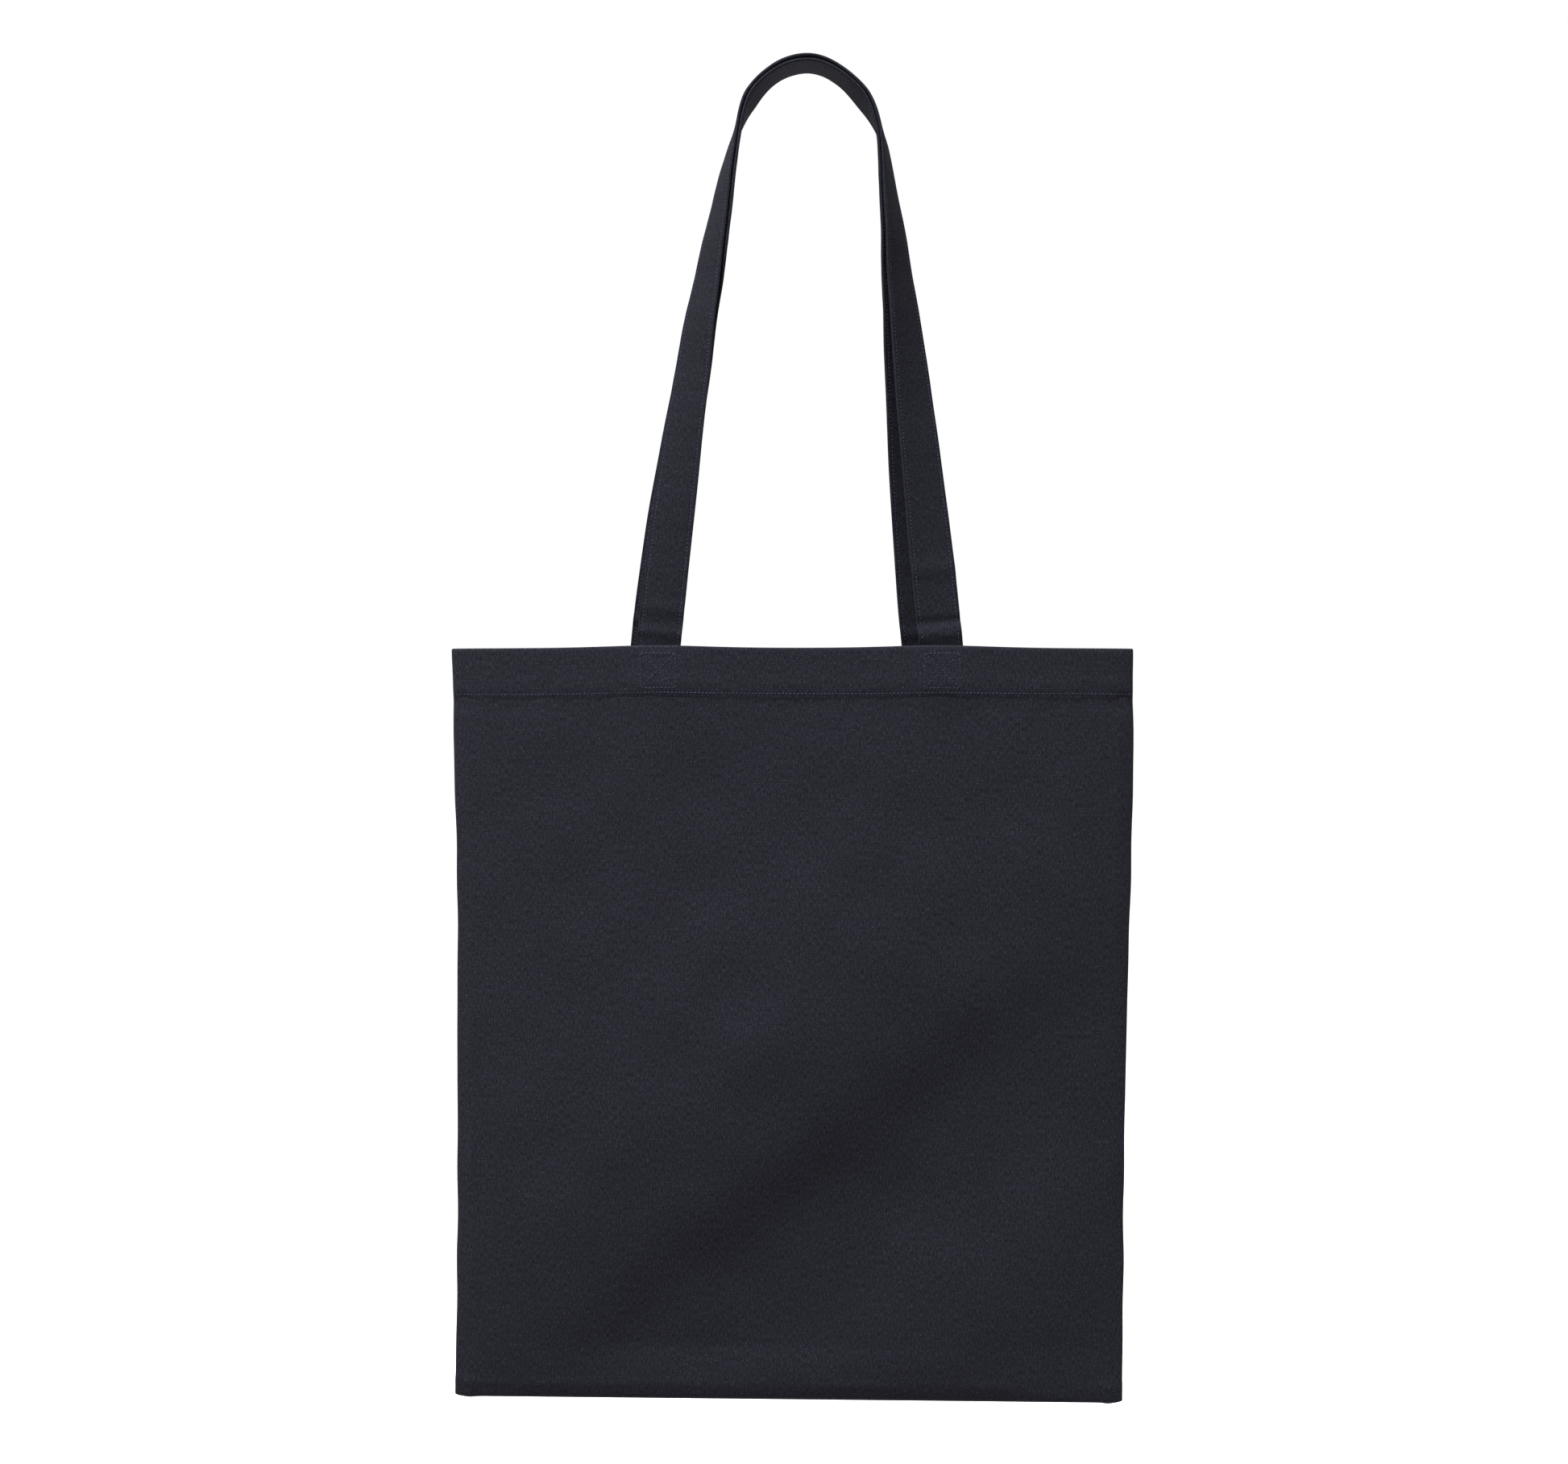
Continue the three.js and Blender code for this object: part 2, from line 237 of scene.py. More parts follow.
def surface_relief(side, x, drop):
    """Small relief of the outside only: the hem's groove and swell, and seams that press through."""
    hem = sizes().hem_depth
    past_hem = np.maximum(drop - hem, 0)
    pucker = ripples(x, 0.3 * drop, 0.013, 31 + side)
    # The row of stitches pulls in a groove, and the cloth above and below it puckers.
    relief = -0.1 * MM * bump_at(drop, hem, 0.9 * MM)
    relief += (0.22 + 0.16 * pucker) * MM * bump_at(drop, hem - 5 * MM, 4.5 * MM)
    relief -= (0.15 - 0.22 * pucker) * MM * bump_at(drop, hem + 5 * MM, 4 * MM)
    # Below the hem the bag is two layers thinner.
    below = 1 / (1 + np.exp(-(drop - hem - 2.2 * MM) / (0.8 * MM)))
    relief -= 0.5 * MM * below * (0.3 + 0.7 * np.exp(-past_hem / 0.03))
    # The stiff strap ends hold the cloth in under them, and a short tuck runs out from each.
    tuck = math.radians(35)
    for foot in feet(side):
        relief -= 0.7 * MM * bump_at(x, foot, 18 * MM) * below * np.exp(-past_hem / 0.02)
        fan = (x - foot) * math.cos(tuck) - (drop - hem) * math.sin(tuck) - 22 * MM
        relief -= 0.35 * MM * bump_at(fan, 0, 2.6 * MM) * bump_at(drop, hem + 9 * MM, 8 * MM)
    # The hem's ends pinch the side seams.
    edge = half_width(drop) - np.abs(x - MIDDLE_X)
    relief -= 1.2 * MM * bump_at(edge, 5 * MM, 4 * MM) * bump_at(drop, hem + 4 * MM, 3.5 * MM)
    # The raw edges inside press through along the side and bottom seams, unevenly.
    worn = 0.8 + 0.8 * ripples(x, drop, 0.06, 41 + side)
    relief += 0.3 * MM * worn * bump_at(edge, 8 * MM, 3.2 * MM) * (drop > hem)
    relief += 0.3 * MM * worn * bump_at(BAG_HEIGHT - drop, 9 * MM, 3 * MM)
    return relief


def cloth_point(side, x, drop, offset, relief=1.0):
    """Points on one side of the hanging bag, and the way out of its face there. drop is the distance
    below the mouth, offset how far a point lies outside the inner face, and relief its share of the
    small relief. The bag is half an ellipse across, and its fullness runs out late towards the bottom."""
    x, drop, offset = np.broadcast_arrays(*(np.asarray(v, float) for v in (x, drop, offset)))
    inner_height = BAG_HEIGHT - sizes().cloth
    belly = BAG_DEPTH - sizes().cloth - LAYER_GAP / 2
    half = half_width(drop)
    sine = np.clip((x - MIDDLE_X) / half, -1, 1)
    cosine = np.sqrt(np.maximum(0, 1 - sine**2))
    share = np.clip(drop / inner_height, 0, 1)
    fullness = np.sqrt(np.maximum(0, 1 - share**ROUNDING))
    narrowing = ROUNDING / 2 * share ** (ROUNDING - 1) / inner_height
    normal = np.stack(
        [fullness**2 * sine / half, side * fullness * cosine / belly, -narrowing * cosine**2], axis=-1)
    length = np.linalg.norm(normal, axis=-1, keepdims=True)
    corner = np.stack([np.sign(sine), np.zeros_like(sine), -np.ones_like(sine)], axis=-1)
    normal = np.where(length < 1e-6, corner / math.sqrt(2), normal / np.maximum(length, 1e-9))
    swell = fold_height(side, x, drop) * cosine**1.2 * fullness**0.6
    swell = swell + relief * surface_relief(side, x, drop) * np.minimum(1, cosine * 3 + 0.25)
    # The two panels meet in the seams, and leave a little air between them everywhere else.
    air = LAYER_GAP / 3 * np.minimum(1, 12 * np.minimum(cosine, 1 - share))
    point = np.stack(
        [MIDDLE_X + half * sine, side * (belly * fullness * cosine + air), MOUTH_Z - drop], axis=-1)
    point = point + normal * (offset + swell)[..., None]
    return hang(point), normal


def ease(share, stops):
    """A smooth course through (share, value) stops."""
    shares, values = zip(*stops)
    near = [np.interp(share + shift, shares, values) for shift in (-0.06, -0.03, 0, 0.03, 0.06)]
    return sum(near) / len(near)


def hang(point):
    """Lets the bag hang a little out of true."""
    point = point.copy()
    right = (point[..., 0] - MIDDLE_X) / TOP_HALF_WIDTH
    down = np.clip((MOUTH_Z - point[..., 2]) / BAG_HEIGHT, 0, 1)
    # The right side hangs lower, and the straps lift the hem.
    point[..., 2] += -2.0 * MM * right * down
    lift = sum(bump_at(point[..., 0], foot, 38 * MM) for foot in feet(FRONT))
    edge = np.exp(-(MOUTH_Z - point[..., 2]) / (60 * MM)) * (point[..., 2] < MOUTH_Z + 3 * MM)
    point[..., 2] += 1.4 * MM * (lift - 0.4) * edge
    # The two bottom corners are turned, so they come out rounded.
    corner = bump_at(np.abs(right), 1, 0.022) * np.exp((down - 1) * 60)
    point[..., 2] += 1.6 * MM * corner
    # The sides draw in where the cloth folds, and wander a little along the seams.
    drawn_in = np.where(right < 0, ease(down, LEFT_SIDE), ease(down, RIGHT_SIDE))
    point[..., 0] -= drawn_in * right
    point[..., 0] += 0.25 * MM * ripples(0 * right, down * 0.42, 0.05, 57) * right
    return point


# ---------- making meshes ----------


def make_object(name, vertices, faces, material, uvs=None, wear_and_painted_light=None):
    """A smooth mesh object. uvs holds metres along the cloth for every vertex. wear_and_painted_light, 0
    to 1, is how far a fold has rubbed pale; on stitches it is painted light instead: how much painted
    highlight the thread gets, with painted shade where it is low."""
    mesh = bpy.data.meshes.new(name)
    mesh.from_pydata(np.asarray(vertices).tolist(), [], faces)
    if mesh.validate():
        raise RuntimeError(f"{name} has broken faces")
    mesh.update()
    mesh.polygons.foreach_set("use_smooth", [True] * len(mesh.polygons))
    loops = np.zeros(len(mesh.loops), np.int32)
    mesh.loops.foreach_get("vertex_index", loops)
    if uvs is not None:
        layer = mesh.uv_layers.new(name="cloth")
        layer.data.foreach_set("uv", np.asarray(uvs, np.float32)[loops].ravel())
    if wear_and_painted_light is not None:
        attribute = mesh.attributes.new("wear_and_painted_light", "FLOAT", "POINT")
        attribute.data.foreach_set("value", np.asarray(wear_and_painted_light, np.float32))
    mesh.materials.append(material)
    piece = bpy.data.objects.new(name, mesh)
    bpy.context.scene.collection.objects.link(piece)
    return piece


def loft(name, rings, material, along=None, round_it=None, wear_and_painted_light=None, warp_along=False):
    """A closed solid through rings of points. Each ring runs up one face and back down the other, so
    strips between the two close the ends. warp_along turns the weave to run with the rings."""
    count, points = rings.shape[:2]
    flat = rings.reshape(-1, 3)
    faces = []
    for i in range(count - 1):
        here, after = i * points, (i + 1) * points
        for j in range(points):
            k = (j + 1) % points
            faces.append((here + j, here + k, after + k, after + j))
    for ring, turn in ((0, 1), (count - 1, -1)):
        base = ring * points
        for j in range(points // 2 - 1):
            a, b, c, d = base + j, base + j + 1, base + points - 2 - j, base + points - 1 - j
            faces.append((a, d, c, b)[::turn])
    along = run_of(rings.mean(axis=1)) if along is None else along
    round_it = run_of(rings[count // 2]) if round_it is None else round_it
    u, v = np.meshgrid(along, round_it, indexing="ij")
    uvs = np.stack([v.ravel(), u.ravel()] if warp_along else [u.ravel(), v.ravel()], axis=1)
    worn = None if wear_and_painted_light is None else np.broadcast_to(wear_and_painted_light, (count, points)).ravel()
    piece = make_object(name, flat, faces, material, uvs, worn)
    face_outwards(piece)
    return piece


def face_outwards(piece):
    """Turns every face of a closed mesh outwards."""
    mesh = piece.data
    points = np.zeros(3 * len(mesh.vertices))
    mesh.vertices.foreach_get("co", points)
    mesh.calc_loop_triangles()
    corners = np.zeros(3 * len(mesh.loop_triangles), np.int32)
    mesh.loop_triangles.foreach_get("vertices", corners)
    a, b, c = points.reshape(-1, 3)[corners.reshape(-1, 3)].transpose(1, 0, 2)
    if np.sum(a * np.cross(b, c)) < 0:
        mesh.flip_normals()


STITCH_RINGS = np.array([-1, -0.82, -0.4, 0, 0.4, 0.82, 1])
STITCH_SIDES = 6


def stitches(name, points, tangents, normals, painted_shine=0.5, reach=None):
    """Single stitches of thread, each rising out of the cloth, lying along it and dipping back.
    painted_shine,
    0 to 1, is how much painted highlight each gets: little where it is pulled down into the cloth, which
    is painted dark as shade."""
    points, tangents, normals = (np.asarray(v, float) for v in (points, tangents, normals))
    reach = 0.64 * sizes().stitch if reach is None else reach
    radius = sizes().thread / 2
    across = unit(np.cross(tangents, normals))
    normals = unit(np.cross(across, tangents))
    ring = STITCH_RINGS[:, None]
    turn = 2 * math.pi * np.arange(STITCH_SIDES) / STITCH_SIDES
    thick = radius * (1 - 0.55 * np.abs(ring) ** 3)
    forward = (ring * reach / 2 + 0 * turn).ravel()
    up = (radius * (0.35 - 0.95 * ring**2) + thick * np.sin(turn)).ravel()
    aside = (1.1 * thick * np.cos(turn)).ravel()
    random = np.random.default_rng(len(points))
    skew = random.normal(0, 0.05, (len(points), 1, 1))
    # The needle hole after each stitch: a small dimple painted dark as shade, drawn as a flat spot on the
    # cloth.
    hole = 1.2 * radius
    after = 0.55 * reach
    forward = np.concatenate([forward, after + 0.12 * radius + hole * np.cos(turn), [after]])
    up = np.concatenate([up, np.full(STITCH_SIDES, 0.1 * radius), [0.2 * radius]])
    aside = np.concatenate([aside, 1.3 * hole * np.sin(turn), [0]])
    vertices = (
        points[:, None] + tangents[:, None] * forward[None, :, None]
        + normals[:, None] * up[None, :, None]
        + across[:, None] * (aside[None, :, None] + skew * forward[None, :, None])
    ).reshape(-1, 3)
    each = len(forward)
    rings = len(STITCH_RINGS)
    # Painted shade: where a stitch dips into the cloth, and in its needle hole, it gets no painted
    # highlight and is painted dark.
    painted_lighting = np.repeat(1 - np.abs(STITCH_RINGS) ** 3, STITCH_SIDES)
    painted_lighting = np.concatenate([painted_lighting, np.zeros(STITCH_SIDES + 1)])
    # The faces of one stitch: its two ends, the tube between its rings, and the top and base of its hole.
    last = (rings - 1) * STITCH_SIDES
    template = [tuple(range(STITCH_SIDES))[::-1], tuple(last + j for j in range(STITCH_SIDES))]
    for i in range(rings - 1):
        for j in range(STITCH_SIDES):
            a, b = i * STITCH_SIDES + j, i * STITCH_SIDES + (j + 1) % STITCH_SIDES
            template.append((a, b, b + STITCH_SIDES, a + STITCH_SIDES))
    rim = rings * STITCH_SIDES
    for j in range(STITCH_SIDES):
        template.append((rim + j, rim + (j + 1) % STITCH_SIDES, each - 1))
    template.append(tuple(rim + j for j in range(STITCH_SIDES))[::-1])
    faces = [tuple(i * each + k for k in face) for i in range(len(points)) for face in template]
    painted_highlight = np.clip(painted_shine + random.normal(0, 0.18, len(points)), 0, 1)
    uvs = np.tile(np.stack([forward, aside], axis=1), (len(points), 1))
    piece = make_object(name, vertices, faces, thread(), uvs, (painted_highlight[:, None] * painted_lighting).ravel())
    face_outwards(piece)
    return piece


# ---------- materials ----------


def add_node(tree, kind, links=None, **settings):
    """Adds a shader node, sets its properties and inputs, and links other nodes' outputs to its inputs.
    A setting whose name is an input is set there; spaces in input names are written as underscores."""
    node = tree.nodes.new(kind)
    names = {socket.name.replace(" ", "_"): socket for socket in reversed(list(node.inputs))}
    for key, value in settings.items():
        if key in names:
            names[key].default_value = value
        else:
            setattr(node, key, value)
    for target, output in (links or {}).items():
        socket = node.inputs[target] if isinstance(target, int) else names[target]
        tree.links.new(output, socket)
    return node


VECTORS = "ShaderNodeVectorMath"


def reckon(tree, operation, first, second=None, kind="ShaderNodeMath", **settings):
    """Reckons with a node's output and, where needed, a constant or another output."""
    node = add_node(tree, kind, {0: first}, operation=operation, **settings)
    if isinstance(second, bpy.types.NodeSocket):
        tree.links.new(second, node.inputs[1])
    elif second is not None:
        node.inputs[1].default_value = second
    return node.outputs[0]


def spread(tree, value, low, high, start=0.0, end=1.0):
    """Stretches the values between low and high over the range from start to end."""
    settings = {"From_Min": low, "From_Max": high, "To_Min": start, "To_Max": end}
    return add_node(tree, "ShaderNodeMapRange", {"Value": value}, **settings).outputs[0]


def mix(tree, part, first, second):
    """Goes from the first colour to the second. Each is red, green and blue, or a node's output."""
    node = add_node(tree, "ShaderNodeMix", {"Factor": part}, data_type="RGBA")
    for index, end in ((6, first), (7, second)):
        if isinstance(end, bpy.types.NodeSocket):
            tree.links.new(end, node.inputs[index])
        else:
            node.inputs[index].default_value = (*end, 1)
    return node.outputs[2]


def noise(tree, uv, scale, detail, **settings):
    """Cloudy noise, about 0 to 1, with as many clouds to the metre as the scale."""
    return add_node(tree, "ShaderNodeTexNoise", {"Vector": uv}, Scale=scale, Detail=detail, **settings)


def streaks(tree, uv, x, y):
    """Thick and thin places along threads: noise drawn out in one direction."""
    drawn = add_node(tree, "ShaderNodeMapping", {"Vector": uv}, Scale=(x, y, 1.0))
    return noise(tree, drawn.outputs[0], 1.0, 3.0).outputs[0]


def times(shade, factor):
    """A colour made lighter or darker."""
    return [c * factor for c in shade]


def new_material(name):
    """A material with its nodes: the node tree, its shader, and metres along the cloth."""
    material = bpy.data.materials.new(name)
    material.use_nodes = True
    tree = material.node_tree
    uv = add_node(tree, "ShaderNodeUVMap", uv_map="cloth").outputs[0]
    return material, tree, tree.nodes["Principled BSDF"], uv


THREAD_SPACING = 1.15 * MM  # real canvas has about 0.5 mm; drawn coarser, so that the weave shows


def woven_height(tree, uv):
    """The height of a plain weave, 0 to 1, and which of its threads lies on top."""
    # Washing leaves the threads a little out of line.
    wobble = noise(tree, uv, 260.0, 2.0).outputs["Color"]
    shift = reckon(tree, "SUBTRACT", wobble, (0.5, 0.5, 0.5), VECTORS)
    moved = reckon(tree, "ADD", uv, reckon(tree, "SCALE", shift, None, VECTORS, Scale=0.9 * MM), VECTORS)
    parts = add_node(tree, "ShaderNodeSeparateXYZ", {"Vector": moved})
    warp, weft = (
        reckon(tree, "SINE", reckon(tree, "MULTIPLY", parts.outputs[axis], math.pi / THREAD_SPACING))
        for axis in ("X", "Y"))
    crossing = reckon(tree, "MULTIPLY", warp, weft)
    height = reckon(tree, "POWER", reckon(tree, "ABSOLUTE", crossing), 0.6)
    return height, reckon(tree, "GREATER_THAN", crossing, 0.0)


def canvas_material(name, weave_bump=0.5, shade=1.0, sheen=0.03):
    """Plain-weave cotton canvas, dyed dark and washed once: matt, with slubs, lint and rubbed folds."""
    material, tree, shader, uv = new_material(name)
    height, on_top = woven_height(tree, uv)
    # shade scales the whole colour down; the straps use it as painted shade.
    dark, pale = times(colours().canvas, shade), times(colours().faded, shade)

    # Warp and weft take the dye a little differently, which gives the cloth its fine grain.
    weave = mix(tree, on_top, times(dark, 0.95), times(dark, 1.05))
    # Slubs run along both thread directions as faint streaks a centimetre or two long.
    slubs = reckon(tree, "ADD", streaks(tree, uv, 70.0, 900.0), streaks(tree, uv, 900.0, 70.0))
    slub = spread(tree, slubs, 0.6, 1.4, 0.85, 1.15)
    # Washing leaves cloudy places a few centimetres wide.
    clouds = noise(tree, uv, 26.0, 4.0, Roughness=0.6).outputs[0]
    cloud = spread(tree, clouds, 0.3, 0.7, 0.95, 1.05)
    # Single threads differ in thickness and dye, which is the heathered grain of the cloth.
    grain = spread(tree, streaks(tree, uv, 1400.0, 380.0), 0.3, 0.7, 0.35, 1.75)
    tone = reckon(tree, "MULTIPLY", reckon(tree, "MULTIPLY", slub, cloud), grain)
    dyed = add_node(tree, VECTORS, {0: weave, "Scale": tone}, operation="SCALE").outputs[0]

    # Lint and cut fibre ends: pale specks under a millimetre across, partly the loose fibres' own paler
    # colour and partly a painted highlight where they catch the light.
    lint_and_glints = spread(tree, noise(tree, uv, 1000.0, 1.0).outputs[0], 0.62, 0.73)
    # Folded edges have rubbed paler, unevenly.
    worn = add_node(tree, "ShaderNodeAttribute", attribute_name="wear_and_painted_light").outputs["Fac"]
    rubbed = reckon(tree, "MULTIPLY", worn, noise(tree, uv, 160.0, 4.0).outputs[0])
    fade = reckon(tree, "MULTIPLY", reckon(tree, "MAXIMUM", lint_and_glints, rubbed), 0.6, use_clamp=True)
    tree.links.new(mix(tree, fade, dyed, pale), shader.inputs["Base Color"])

    # The tops of the threads are rubbed a little smoother than the gaps between them.
    tree.links.new(spread(tree, height, 0.0, 1.0, 0.98, 0.86), shader.inputs["Roughness"])
    # The weave and its slubs stand out of the cloth.
    raised = reckon(tree, "ADD", height, slubs)
    bump = add_node(tree, "ShaderNodeBump", {"Height": raised}, Strength=weave_bump, Distance=0.12 * MM)
    tree.links.new(bump.outputs[0], shader.inputs["Normal"])
    # Cotton hardly shines, and its loose fibres give the body cloth a faint sheen at a glancing angle.
    shader.inputs["IOR"].default_value = 1.5
    shader.inputs["Specular IOR Level"].default_value = 0.1
    shader.inputs["Sheen Weight"].default_value = sheen
    shader.inputs["Sheen Roughness"].default_value = 0.5
    return material


def thread_material(name):
    """Spun polyester thread, navy: smoother than the cotton, so it glints along each stitch; its colour
    also carries a painted highlight and painted shade.
    """
    material, tree, shader, uv = new_material(name)
    # The plies of the twist show as slanting bands, about one every millimetre.
    slant = add_node(tree, "ShaderNodeMapping", {"Vector": uv}, Rotation=(0, 0, math.radians(35)))
    ply = add_node(tree, "ShaderNodeTexWave", {"Vector": slant.outputs[0]}, Scale=300.0, Distortion=1.0)
    plies = ply.outputs["Fac"]
    # Painted light: thread lying on the cloth is painted lighter as a highlight, and thread pulled down
    # into it, like its needle holes, is painted dark as shade.
    painted_highlight = add_node(tree, "ShaderNodeAttribute", attribute_name="wear_and_painted_light").outputs["Fac"]
    lit = reckon(tree, "MULTIPLY", spread(tree, plies, 0.0, 1.0, 0.75), painted_highlight)
    painted_lighting = mix(tree, lit, times(colours().thread, 0.1), times(colours().thread, 2.6))
    tree.links.new(painted_lighting, shader.inputs["Base Color"])
    bump = add_node(tree, "ShaderNodeBump", {"Height": plies}, Strength=0.4, Distance=0.05 * MM)
    tree.links.new(bump.outputs[0], shader.inputs["Normal"])
    shader.inputs["Roughness"].default_value = 0.65
    shader.inputs["IOR"].default_value = 1.54
    shader.inputs["Specular IOR Level"].default_value = 0.2
    return material


def kept_material(name, make, *settings):
    """The named material, made once."""
    return bpy.data.materials.get(name) or make(name, *settings)


def body_canvas():
    return kept_material("Cotton canvas, plain weave", canvas_material)


def strap_canvas():
    """The same cloth pressed in four layers: flatter, without loose fibres, and painted a little darker
    as shade on the straps.
    """
    return kept_material("Cotton canvas, four layers pressed", canvas_material, 0.4, 0.78, 0.0)


def thread():
    return kept_material("Spun polyester thread", thread_material)


# ---------- the handles' shape ----------

ARCH_HALF_WIDTH = 43 * MM  # half the width of the loop where it bends over towards the hook
ARCH_HEIGHT = 47 * MM  # from there up to the crown
NEST_GAP = 0.9 * MM  # the handles lie closer together than their CAD solids
CROWN_SAG = 2.4 * MM  # how far the soft strap settles over the hook
FOOT_LEAN = 0.1  # how far a leg leans inwards as it leaves the hem
# How far a leg leans inwards where it meets the loop's bend; the back's left leg leans a little less
ARCH_LEANS = {-1: 0.2, 1: 0.12}
BACK_LEFT_LEAN = 0.88
BACK_SQUEEZE = 0.6 * MM  # how much closer together the handles lie at the bend than at the crown
# The quarter turn from the hem to the crown: how late it sets in, how far above the loop's bend it is
# complete, and how far, how high and how widely it carries past a quarter
TWIST_ONSET = 1.35
TWIST_END = 26 * MM
OVERTWIST = math.radians(6)
OVERTWIST_HEIGHT = 25 * MM
OVERTWIST_WIDTH = 13 * MM
# The straps were sewn on a little out of line, by side and leg
STRAP_NUDGE = {(FRONT, -1): 1.0 * MM, (FRONT, 1): 1.2 * MM, (BACK, -1): 2.2 * MM, (BACK, 1): -1.2 * MM}
# A Bezier handle of 0.55 of the radius makes a quarter ellipse; less makes a sloping shoulder
SHOULDERS = {-1: 0.54, 1: 0.45}
STATION = 1.5 * MM  # between one ring of the strap and the next
STITCH_INSET = 2.2 * MM  # from the strap's edge to its row of stitches
# Creases across a leg just above the hem: side, leg, height above the hem, depth, and half width
CREASES = (
    (FRONT, -1, 9 * MM, 1.0 * MM, 3.2 * MM),
    (FRONT, -1, 22 * MM, 0.8 * MM, 4 * MM),
    (FRONT, 1, 8 * MM, 1.5 * MM, 4.4 * MM),
    (FRONT, 1, 15 * MM, -1.0 * MM, 2.1 * MM),
    (FRONT, 1, 44 * MM, 0.8 * MM, 6 * MM),
    (BACK, -1, 16 * MM, 0.9 * MM, 3 * MM),
    (BACK, 1, 10 * MM, 0.9 * MM, 3.4 * MM),
)


def bezier(points, steps):
    """Points of a cubic Bezier curve."""
    t = np.linspace(0, 1, steps)[:, None]
    a, b, c, d = (np.asarray(p, float) for p in points)
    return a * (1 - t) ** 3 + 3 * b * t * (1 - t) ** 2 + 3 * c * t**2 * (1 - t) + d * t**3


def even(line, step):
    """A line's points at an even spacing."""
    run = run_of(line)
    return sample(np.linspace(0, run[-1], int(run[-1] / step) + 2), run, line)


class Handle:
    """One handle's strap: the middle line from one sewn end over the hook to the other, with the
    direction across the strap and the direction out of its face at every station."""

    def __init__(self, side_name, side):
        self.name, self.side = side_name, side
        thickness = sizes().strap_thickness
        inward = thickness + NEST_GAP if side == BACK else 0
        crown = np.array([0, 0, CROWN_TOP - CROWN_SAG - thickness / 2 - inward])
        arch_z = crown[2] + inward - ARCH_HEIGHT
        left, right = self.leg(-1, inward, arch_z, crown), self.leg(1, inward, arch_z, crown)
        whole = np.concatenate([left, right[::-1][1:]])
        self.line = even(whole, STATION)
        self.frames(arch_z)

    def leg(self, leg, inward, arch_z, crown):
        """Half of the middle line: from one sewn end up over the hem to the crown."""
        foot = node_middle(foot_node(self.side, leg))
        low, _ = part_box(foot_node(self.side, leg))
        start = np.array([foot.x + STRAP_NUDGE[self.side, leg], foot.y, low.z + 0.5 * MM])
        edge = np.array([start[0], foot.y, MOUTH_Z])
        squeeze = BACK_SQUEEZE if self.side == BACK else 0
        spring = np.array([leg * (ARCH_HALF_WIDTH - inward + squeeze), 0, arch_z])
        third = (arch_z - MOUTH_Z) / 3
        above_edge = edge + [-leg * FOOT_LEAN * third, -0.3 * edge[1], third]
        lean = ARCH_LEANS[leg] * (BACK_LEFT_LEAN if self.side == BACK and leg < 0 else 1)
        below_spring = spring + [leg * lean * third, 0, -third]
        rise = SHOULDERS[leg] * (crown[2] - arch_z)
        above_spring = spring + [-leg * ARCH_LEANS[leg] * rise, 0, rise]
        beside_crown = crown + [leg * SHOULDERS[leg] * abs(spring[0]), 0, 0]
        return np.concatenate([
            np.linspace(start, edge, 12)[:-1],
            bezier((edge, above_edge, below_spring, spring), 160)[:-1],
            bezier((spring, above_spring, beside_crown, crown), 60),
        ])

    def frames(self, arch_z):
        """The directions along, across and out of the strap at every station, and its creases."""
        line = self.line
        tangent = unit(np.gradient(line, axis=0))
        inward = unit(np.stack([tangent[:, 2], 0 * tangent[:, 0], -tangent[:, 0]], axis=1))
        forward = np.cross(inward, tangent)
        self.run = run_of(line)
        above = line[:, 2] - MOUTH_Z
        share = np.clip(above / (arch_z + TWIST_END - MOUTH_Z), 0, 1) ** TWIST_ONSET
        # The twist carries past a quarter turn beside the crown, so the underside shows there.
        past = OVERTWIST * bump_at(line[:, 2], arch_z + OVERTWIST_HEIGHT, OVERTWIST_WIDTH)
        turn = math.pi / 2 * share + past
        self.across = inward * np.cos(turn)[:, None] + forward * np.sin(turn)[:, None]
        self.out = forward * np.cos(turn)[:, None] - inward * np.sin(turn)[:, None]
        self.tangent = tangent
        # Above the hem the strap is uneven, and it creases where it has been folded down.
        bulge = 0.25 * MM * ripples(line[:, 0], line[:, 2], 0.045, 71)
        bulge *= np.clip(above / (20 * MM), 0, 1)
        for side, leg, height, depth, width in CREASES:
            here = (np.sign(line[:, 0]) == leg) & (side == self.side)
            bulge += here * depth * bump_at(above, height, width)
        self.line = line + self.out * bulge[:, None]

    def profile(self):
        """The strap's section: distances across it, and the height of its face there."""
        half = sizes().strap_width / 2
        lip = half - sizes().strap_thickness / 2
        # The points lie close together near the edges, where the two rows of stitches pull the face in.
        fine = 2 * (half - lip) + 1.4 * MM
        across = np.concatenate([
            np.linspace(-lip, -lip + fine, 9),
            np.linspace(-half + 4.2 * MM, half - 4.2 * MM, 8),
            np.linspace(lip - fine, lip, 9),
        ])
        across = np.unique(np.round(across, 7))
        row = half - STITCH_INSET
        pulled_in = 0.28 * (bump_at(across, -row, 0.8 * MM) + bump_at(across, row, 0.8 * MM))
        swell = 0.08 * np.cos(across / half * math.pi / 2)
        return across, sizes().strap_thickness / 2 * (1.02 - pulled_in + swell)

    def section(self):
        """The whole section as a ring: over one face, round the edge and back over the other."""
        across, height = self.profile()
        lip = across[-1]
        turn = np.linspace(math.pi / 2, -math.pi / 2, 8)[1:-1]
        round_x = lip + (sizes().strap_width / 2 - lip) * np.cos(turn)
        round_y = height[-1] * np.sin(turn)
        # Both edges run from the upper face down, so the surface crosses itself once inside the second.
        x = np.concatenate([across, round_x, across[::-1], -round_x[::-1]])
        y = np.concatenate([height, round_y, -height[::-1], -round_y[::-1]])
        # The ring starts half way round the second edge, so that a strap's ends close evenly.
        return np.roll(x, 3), np.roll(y, 3)

    def rings(self):
        """The section set out at every station, and how far its edges have rubbed pale."""
        x, y = self.section()
        half = sizes().strap_width / 2
